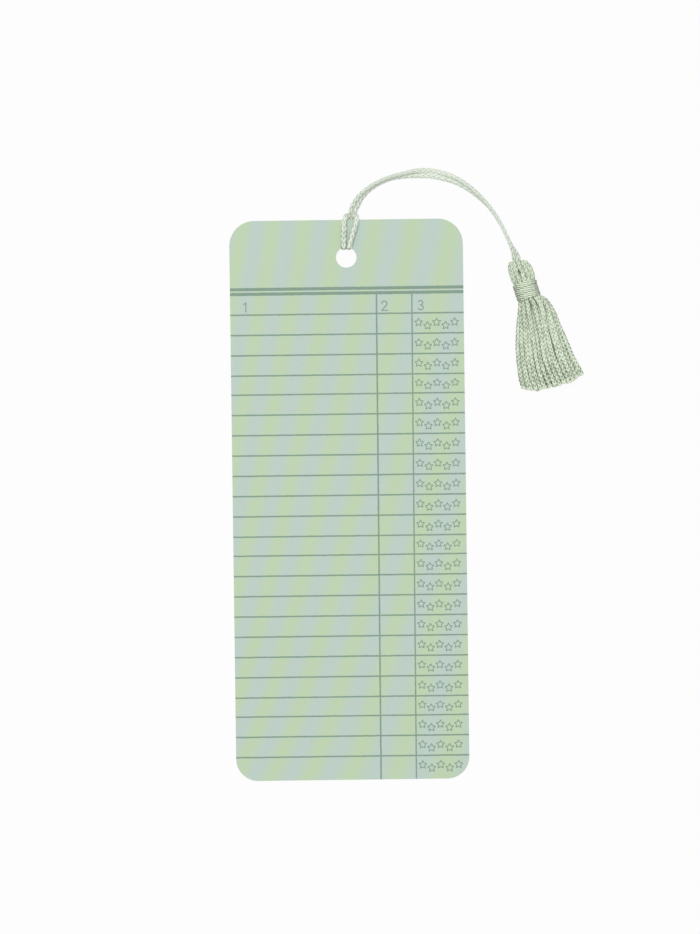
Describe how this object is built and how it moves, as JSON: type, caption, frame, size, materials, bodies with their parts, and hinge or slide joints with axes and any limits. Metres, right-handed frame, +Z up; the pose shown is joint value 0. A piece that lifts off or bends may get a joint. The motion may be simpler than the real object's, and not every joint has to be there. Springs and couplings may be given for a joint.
{
  "type": "bookmark",
  "caption": "Flat rounded card bookmark with a ruled print, a punched hole and a hitched double cord that swings and folds, ending in a bound tassel of folded strands.",
  "frame": {"origin": "on the surface that the bookmark lies on, under the middle of the card", "axes": "+X across the card, +Y along the card towards the punched hole, +Z up out of the printed face"},
  "size_m": [0.0949, 0.1659, 0.0063],
  "materials": {
    "printed_card": "matt",
    "braided_cord": "soft satin",
    "tassel_yarn": "soft satin",
    "binding_thread": "soft satin"
  },
  "bodies": {
    "card": {"card": "printed_card", "hitch_loop": "braided_cord"},
    "cord_near": {"cord_near_left": "braided_cord", "cord_near_right": "braided_cord"},
    "cord_far": {"cord_far_left": "braided_cord", "cord_far_right": "braided_cord"},
    "tassel": {"stopper_knot": "braided_cord", "tassel_strand_01": "tassel_yarn", "tassel_strand_02": "tassel_yarn", "tassel_strand_03": "tassel_yarn", "tassel_strand_04": "tassel_yarn", "tassel_strand_05": "tassel_yarn", "tassel_strand_06": "tassel_yarn", "tassel_strand_07": "tassel_yarn", "tassel_strand_08": "tassel_yarn", "tassel_strand_09": "tassel_yarn", "tassel_strand_10": "tassel_yarn", "tassel_strand_11": "tassel_yarn", "tassel_strand_12": "tassel_yarn", "tassel_strand_13": "tassel_yarn", "neck_thread": "binding_thread"}
  },
  "joints": [
    {"name": "cord_swing", "type": "hinge", "parent": "card", "child": "cord_near", "pos_m": [0.00365, 0.08115, 0.00198], "axis": [0, 0, 1], "range_deg": [-8, 70]},
    {"name": "cord_fold", "type": "hinge", "parent": "cord_near", "child": "cord_far", "pos_m": [0.0205, 0.0885, 0.0013], "axis": [0, -1, 0], "range_deg": [0, 150]},
    {"name": "tassel_swing", "type": "hinge", "parent": "cord_far", "child": "tassel", "pos_m": [0.04676, 0.06635, 0.00318], "axis": [0, 0, 1], "range_deg": [-12, 75]}
  ]
}
